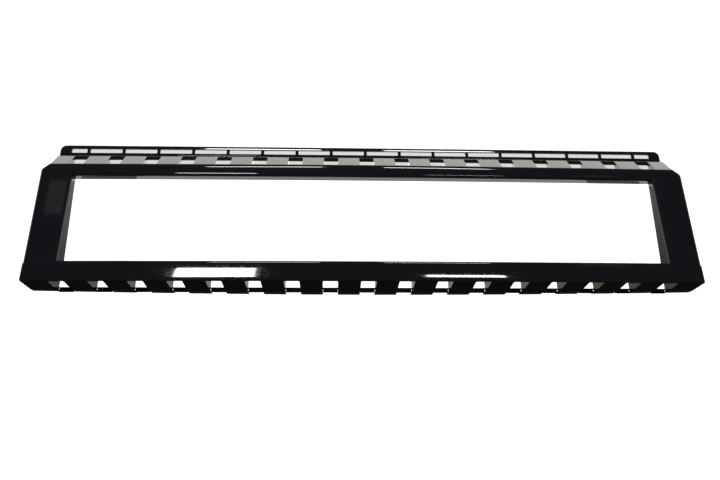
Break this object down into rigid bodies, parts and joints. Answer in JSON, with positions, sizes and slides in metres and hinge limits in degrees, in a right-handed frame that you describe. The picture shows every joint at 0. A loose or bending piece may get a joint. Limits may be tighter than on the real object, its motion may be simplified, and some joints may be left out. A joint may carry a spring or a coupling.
{
  "type": "front grille surround",
  "caption": "Gloss black front grille surround: a long open frame with windowed upper and lower rails, a slotted vent strip, corner brackets and mounting feet.",
  "frame": {"origin": "on the resting plane, under the middle of the outline, with the piece lying on its back", "axes": "+X to the right as the face is seen, +Y from the lower rail to the vent strip, +Z out of the front face"},
  "size_m": [1.178, 0.2956, 0.0835],
  "materials": {
    "gloss_black": "piano black, polished mould finish",
    "zinc_steel": "zinc plated steel"
  },
  "bodies": {
    "root": {"lower_rail": "gloss_black", "upper_rail": "gloss_black", "left_post": "gloss_black", "right_post": "gloss_black", "lower_rear_rail": "gloss_black", "upper_rear_rail": "gloss_black", "vent_strip": "gloss_black", "lower_left_bracket": "zinc_steel", "lower_right_bracket": "zinc_steel", "upper_left_bracket": "zinc_steel", "upper_right_bracket": "zinc_steel", "lower_left_bush": "zinc_steel", "lower_right_bush": "zinc_steel", "upper_left_bush": "zinc_steel", "upper_right_bush": "zinc_steel", "lower_left_screw_1": "zinc_steel", "lower_left_screw_2": "zinc_steel", "lower_left_screw_3": "zinc_steel", "lower_left_screw_4": "zinc_steel", "lower_right_screw_1": "zinc_steel", "lower_right_screw_2": "zinc_steel", "lower_right_screw_3": "zinc_steel", "lower_right_screw_4": "zinc_steel", "upper_left_screw_1": "zinc_steel", "upper_left_screw_2": "zinc_steel", "upper_left_screw_3": "zinc_steel", "upper_right_screw_1": "zinc_steel", "upper_right_screw_2": "zinc_steel", "upper_right_screw_3": "zinc_steel", "strip_screw_1": "zinc_steel", "strip_screw_2": "zinc_steel", "strip_screw_3": "zinc_steel", "strip_screw_4": "zinc_steel", "strip_screw_5": "zinc_steel", "strip_screw_6": "zinc_steel"}
  },
  "joints": []
}
